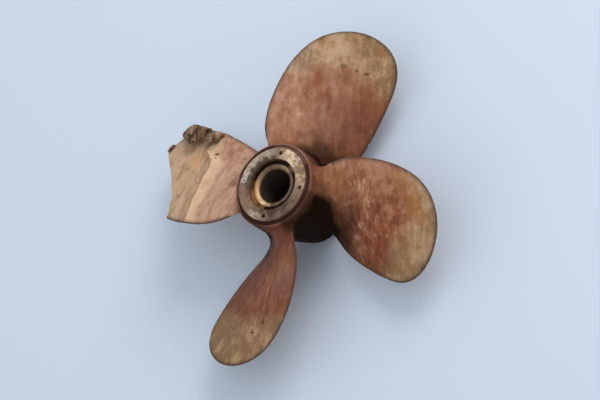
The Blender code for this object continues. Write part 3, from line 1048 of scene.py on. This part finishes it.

# Its tone changes with the bearing, here as shares of a turn from the -X side; the cream is a
# painted highlight
dull.colour = dull.ramp(
    ring_turn, (0.00, grey), (0.06, white), (0.13, white), (0.18, pink),
    (0.25, tan), (0.30, tan), (0.345, white), (0.39, tan), (0.45, brown),
    (0.55, brown), (0.62, tan), (0.69, gold), (0.74, tan), (0.79, cream),
    (0.86, cream), (0.91, tan), (0.96, grey), (1.00, grey))
dull.paint(tan, dull.spots(34.0, 0.46, 0.62, detail=5.0), 0.45)
dull.paint(brown, dull.spots(52.0, 0.52, 0.64, detail=5.0), 0.55)
# Dark marks round the inner edge are painted shade; the cream mark is a painted highlight
dull.paint_marks(dull.warped(dull.here, 60.0, 0.010), hub_length, (
    (340, 0.097, 0.024, 0.80, dark), (12, 0.097, 0.018, 0.60, dark),
    (315, 0.097, 0.014, 0.80, dark), (299, 0.101, 0.013, 0.75, brown),
    (158, 0.095, 0.014, 0.70, dark), (176, 0.095, 0.016, 0.90, dark),
    (192, 0.095, 0.016, 0.90, dark), (209, 0.095, 0.017, 0.90, dark),
    (226, 0.095, 0.016, 0.85, dark), (243, 0.095, 0.014, 0.70, dark),
    (258, 0.096, 0.012, 0.50, dark), (352, 0.125, 0.016, 0.40, tan),
    (18, 0.124, 0.016, 0.45, tan), (120, 0.106, 0.013, 0.70, cream),
    (76, 0.103, 0.010, 0.85, (0.660, 0.460, 0.290)), (92, 0.112, 0.010, 0.60, pink),
    (45, 0.127, 0.012, 0.70, pink), (66, 0.126, 0.012, 0.85, pink),
    (82, 0.126, 0.012, 0.85, pink), (98, 0.127, 0.011, 0.80, pink),
    (112, 0.129, 0.009, 0.75, pink), (138, 0.129, 0.008, 0.60, tan)))

# Specks, painted shade on the walls, the dark rims of the holes, and the faint marks of the lathe
dull.paint(brown, dull.spots(75.0, 0.55, 0.64), 0.50)
dull.paint(dark, dull.spots(150.0, 0.60, 0.68, detail=3.0), 0.70)
ring_out = dull.off_axis()
dull.paint(ring_wall_shade, dull.step(ring_out, ring_radius - 0.0014, ring_radius - 0.0002), 0.85)
dull.paint(ring_bore_shade, dull.step(ring_out, recess_radius + 0.0030, recess_radius + 0.0004), 0.70)
for number in range(screw_count):
    dull.paint(dark, dull.patch(dull.here, screw_place(number, hub_length),
                                screw_hole_radius + 0.0008, 0.70))
lathe = dull.node("ShaderNodeCombineXYZ", X=ring_out)
lathe_marks = dull.cloud(1400.0, lathe.outputs[0], detail=2.0)
dull.set_shader("Roughness", dull.spots(50.0, 0.3, 0.7, first=0.40, last=0.62))
dull.raise_surface((lathe_marks, 0.00012), (dull.cloud(240.0, detail=5.0), 0.0003))
dull.cover(ring)
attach(ring, "root")
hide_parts("end_ring")


# The collar round the bore.
# Golden bronze, machined, with a flared lip, its brightest part a painted highlight. It stands
# in the recess, and the shaft's seal sat on it.

fitting_gap = 0.0003
collar_bottom = recess_floor + fitting_gap
collar_height = 0.013
collar_wall = 0.016
collar_flare = 0.007
collar_rounding = 0.0025
flare_rounding = 0.0015
collar_top = collar_bottom + collar_height
collar = add_object("seal_lip", turned_shape(
    [(bore_large_radius, collar_bottom, 0.0),
     (bore_large_radius + collar_wall, collar_bottom, 0.0),
     (bore_large_radius + collar_wall, collar_top, collar_rounding),
     (bore_large_radius + collar_flare, collar_top, collar_rounding),
     (bore_large_radius, collar_top - collar_flare, flare_rounding)], hub_segments))

bright = Finish("bright_collar_bronze", roughness=0.42, metallic=0.40, specular=0.4)
bright.colour = bright.ramp(bright.cloud(45.0, detail=5.0), (0.36, (0.085, 0.050, 0.032)),
                            (0.50, (0.150, 0.090, 0.052)), (0.66, (0.240, 0.150, 0.085)))
# The marks round its top are painted light: a painted highlight at bearings 252 to 322
bright.paint_marks(bright.here, collar_top, (
    (340, 0.070, 0.020, 0.30, (0.070, 0.044, 0.034)),
    (50, 0.070, 0.030, 0.45, (0.200, 0.130, 0.095)),
    (118, 0.074, 0.022, 0.75, (0.420, 0.270, 0.155)),
    (150, 0.068, 0.018, 0.50, (0.280, 0.165, 0.090)),
    (215, 0.072, 0.026, 0.60, (0.340, 0.195, 0.105)),
    (252, 0.070, 0.036, 0.92, (0.560, 0.310, 0.130)),
    (285, 0.070, 0.022, 0.92, (0.740, 0.440, 0.200)),
    (304, 0.074, 0.015, 0.95, (0.950, 0.660, 0.390)),
    (322, 0.072, 0.012, 0.75, (0.560, 0.370, 0.230))))
bright.paint((0.100, 0.048, 0.024), bright.spots(140.0, 0.58, 0.66), 0.5)
bright.raise_surface((bright.cloud(300.0), 0.0002))
bright.cover(collar)
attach(collar, "root")
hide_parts("seal_collar")


# The screw that is left in the ring.
# A socket screw in pale worn steel: its head sits on the ring, its shank in the hole.

head_radius = 0.010
head_height = 0.007
head_rounding = 0.0012
head_foot_rounding = 0.0006
shank_radius = 0.0064
shank_end_radius = 0.0056
shank_chamfer = 0.0012
socket_radius = 0.005
socket_depth = 0.004
socket_turn = 10.0
screw_segments = 48
screw_seat = hub_length + fitting_gap
screw_top = screw_seat + head_height
shank_end = seat_height - tapped_depth / 2
screw = add_object("socket_screw", turned_shape(
    [(0.0, shank_end, 0.0), (shank_end_radius, shank_end, 0.0),
     (shank_radius, shank_end + shank_chamfer, 0.0), (shank_radius, screw_seat, 0.0),
     (head_radius, screw_seat, head_foot_rounding), (head_radius, screw_top, head_rounding),
     (0.0, screw_top, 0.0)], screw_segments))
socket = bmesh.new()
bmesh.ops.create_cone(socket, cap_ends=True, segments=6, radius1=socket_radius,
                      radius2=socket_radius, depth=2 * socket_depth,
                      matrix=Matrix.Translation((0, 0, screw_top))
                      @ Matrix.Rotation(math.radians(socket_turn), 4, "Z"))
combined(screw, "DIFFERENCE", [add_object("hex_key", socket)])
screw.data.transform(Matrix.Translation(screw_place(damaged_blade)))

steel = Finish("worn_screw_steel", roughness=0.40, metallic=0.50)
steel.colour = steel.ramp(steel.cloud(260.0), (0.40, (0.420, 0.300, 0.250)),
                          (0.56, (0.760, 0.690, 0.660)))
# The hex socket is painted dark, as shade
steel.paint((0.060, 0.035, 0.028), steel.patch(steel.here, screw_place(damaged_blade, screw_top),
                                               socket_radius, 0.8))
steel.raise_surface((steel.cloud(900.0, detail=3.0), 0.0001))
steel.cover(screw)
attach(screw, "root")
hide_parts("left_in_screw")
